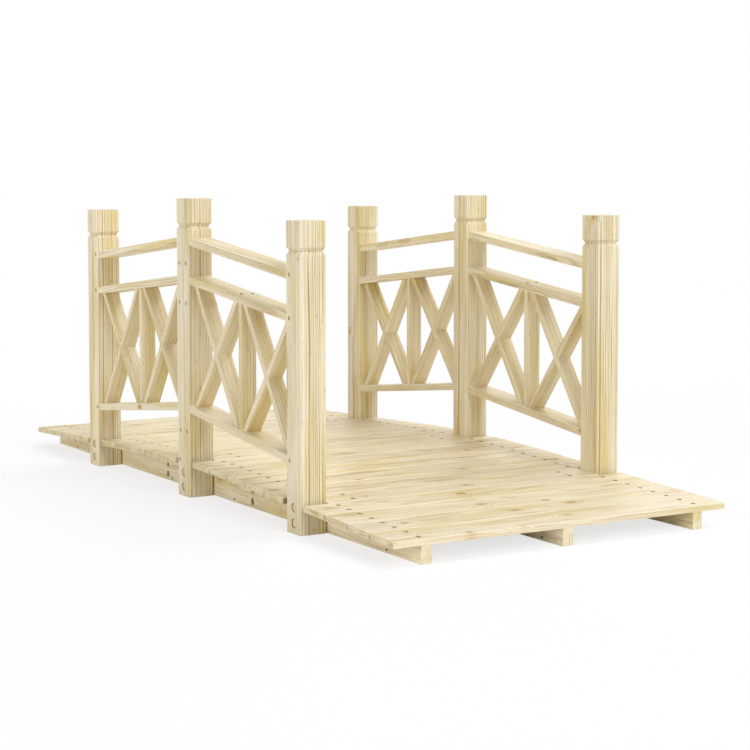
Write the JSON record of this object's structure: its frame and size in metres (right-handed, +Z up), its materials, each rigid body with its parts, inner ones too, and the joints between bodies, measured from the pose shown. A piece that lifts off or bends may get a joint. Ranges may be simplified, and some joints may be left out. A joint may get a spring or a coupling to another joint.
{
  "type": "moon bridge",
  "caption": "Small arched wooden garden footbridge with a low crowned board deck, square posts and cross-lattice railings.",
  "frame": {"origin": "on the ground under the middle of the bridge, at the centre of the box around it", "axes": "+X along the walkway towards the end nearest the viewer of the picture, +Y across it from the left railing to the right one, +Z up"},
  "size_m": [1.501, 0.671, 0.559],
  "materials": {
    "pine_post": "planed, unfinished",
    "pine_rail": "planed, unfinished",
    "pine_slat": "planed, unfinished",
    "pine_deck": "planed, unfinished",
    "pine_stringer": "planed, unfinished",
    "pine_plug": "planed, unfinished",
    "screw_steel": "dark yellow-passivated steel"
  },
  "bodies": {
    "root": {"left_post_far": "pine_post", "left_post_middle": "pine_post", "left_post_near": "pine_post", "right_post_far": "pine_post", "right_post_middle": "pine_post", "right_post_near": "pine_post", "left_stringer": "pine_stringer", "middle_stringer": "pine_stringer", "right_stringer": "pine_stringer", "left_top_rail_far": "pine_rail", "left_top_rail_near": "pine_rail", "left_middle_rail_far": "pine_rail", "left_middle_rail_near": "pine_rail", "left_bottom_rail_far": "pine_rail", "left_bottom_rail_near": "pine_rail", "right_top_rail_far": "pine_rail", "right_top_rail_near": "pine_rail", "right_middle_rail_far": "pine_rail", "right_middle_rail_near": "pine_rail", "right_bottom_rail_far": "pine_rail", "right_bottom_rail_near": "pine_rail", "left_lattice_far": "pine_slat", "left_lattice_near": "pine_slat", "right_lattice_far": "pine_slat", "right_lattice_near": "pine_slat", "deck_board_01": "pine_deck", "deck_board_02": "pine_deck", "deck_board_03": "pine_deck", "deck_board_04": "pine_deck", "deck_board_05": "pine_deck", "deck_board_06": "pine_deck", "deck_board_07": "pine_deck", "deck_board_08": "pine_deck", "deck_board_09": "pine_deck", "deck_board_10": "pine_deck", "deck_board_11": "pine_deck", "deck_board_12": "pine_deck", "deck_board_13": "pine_deck", "deck_board_14": "pine_deck", "deck_board_15": "pine_deck", "deck_board_16": "pine_deck", "deck_board_17": "pine_deck", "deck_board_18": "pine_deck", "deck_board_19": "pine_deck", "deck_board_20": "pine_deck", "deck_board_21": "pine_deck"}
  },
  "joints": []
}
